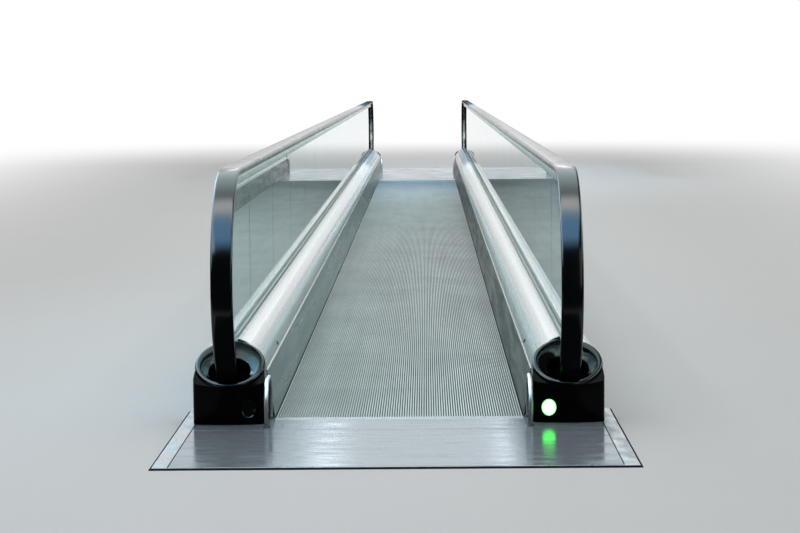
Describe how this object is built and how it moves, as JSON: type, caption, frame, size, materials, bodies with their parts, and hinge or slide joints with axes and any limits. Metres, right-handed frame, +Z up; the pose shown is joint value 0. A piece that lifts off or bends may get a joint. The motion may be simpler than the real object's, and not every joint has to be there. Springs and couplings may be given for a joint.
{
  "type": "moving walkway",
  "caption": "Level moving walkway: ribbed metal pallet band with combs and landing plates, glass balustrades, round-nosed black handrails, metal decks and black newel caps.",
  "frame": {"origin": "middle of the underside, in the plane that the part rests on; the walking level is 0.060 m above it", "axes": "+Y along the walkway from the near landing to the far landing, +X to the right, +Z up"},
  "size_m": [1.729, 24.345, 1.07],
  "materials": {
    "bed_paint": "grey paint, satin",
    "track_steel": "rolled steel, dull",
    "pallet_metal": "cast, dull, worn",
    "rib_metal": "cast, brushed bright on top",
    "comb_metal": "cast, dull",
    "plate_steel": "brushed across the walkway",
    "frame_steel": "brushed along the edge",
    "skirt_steel": "satin",
    "deck_metal": "satin, streaked along its length",
    "trim_metal": "polished",
    "cladding_steel": "satin",
    "clamp_metal": "satin, grey",
    "pane_glass": "clear, green-blue tint",
    "guide_metal": "polished",
    "rail_rubber": "glossy black",
    "cap_plastic": "glossy black",
    "collar_plastic": "glossy black",
    "lamp_green": "lit green lens",
    "lamp_dark": "unlit dark lens",
    "hoop_steel": "polished stainless tube"
  },
  "bodies": {
    "root": {"truss_pan": "bed_paint", "pallet_tracks": "track_steel", "pallets": "pallet_metal", "tread_ribs": "rib_metal", "deck_trims": "trim_metal", "landing_frame_near": "frame_steel", "floor_plate_near": "plate_steel", "comb_plate_near": "plate_steel", "combs_near": "comb_metal", "landing_frame_far": "frame_steel", "floor_plate_far": "plate_steel", "comb_plate_far": "plate_steel", "combs_far": "comb_metal", "skirt_left": "skirt_steel", "inner_deck_left": "deck_metal", "outer_deck_left": "deck_metal", "outer_cladding_left": "cladding_steel", "glass_clamp_left": "clamp_metal", "glass_left": "pane_glass", "handrail_guide_left": "guide_metal", "handrail_left": "rail_rubber", "skirt_right": "skirt_steel", "inner_deck_right": "deck_metal", "outer_deck_right": "deck_metal", "outer_cladding_right": "cladding_steel", "glass_clamp_right": "clamp_metal", "glass_right": "pane_glass", "handrail_guide_right": "guide_metal", "handrail_right": "rail_rubber", "end_cap_near_left": "cap_plastic", "inlet_collar_near_left": "collar_plastic", "signal_lamp_near_left": "lamp_dark", "guard_hoop_near_left": "hoop_steel", "end_cap_near_right": "cap_plastic", "inlet_collar_near_right": "collar_plastic", "signal_lamp_near_right": "lamp_green", "guard_hoop_near_right": "hoop_steel", "end_cap_far_left": "cap_plastic", "inlet_collar_far_left": "collar_plastic", "signal_lamp_far_left": "lamp_dark", "guard_hoop_far_left": "hoop_steel", "end_cap_far_right": "cap_plastic", "inlet_collar_far_right": "collar_plastic", "signal_lamp_far_right": "lamp_dark", "guard_hoop_far_right": "hoop_steel"}
  },
  "joints": []
}
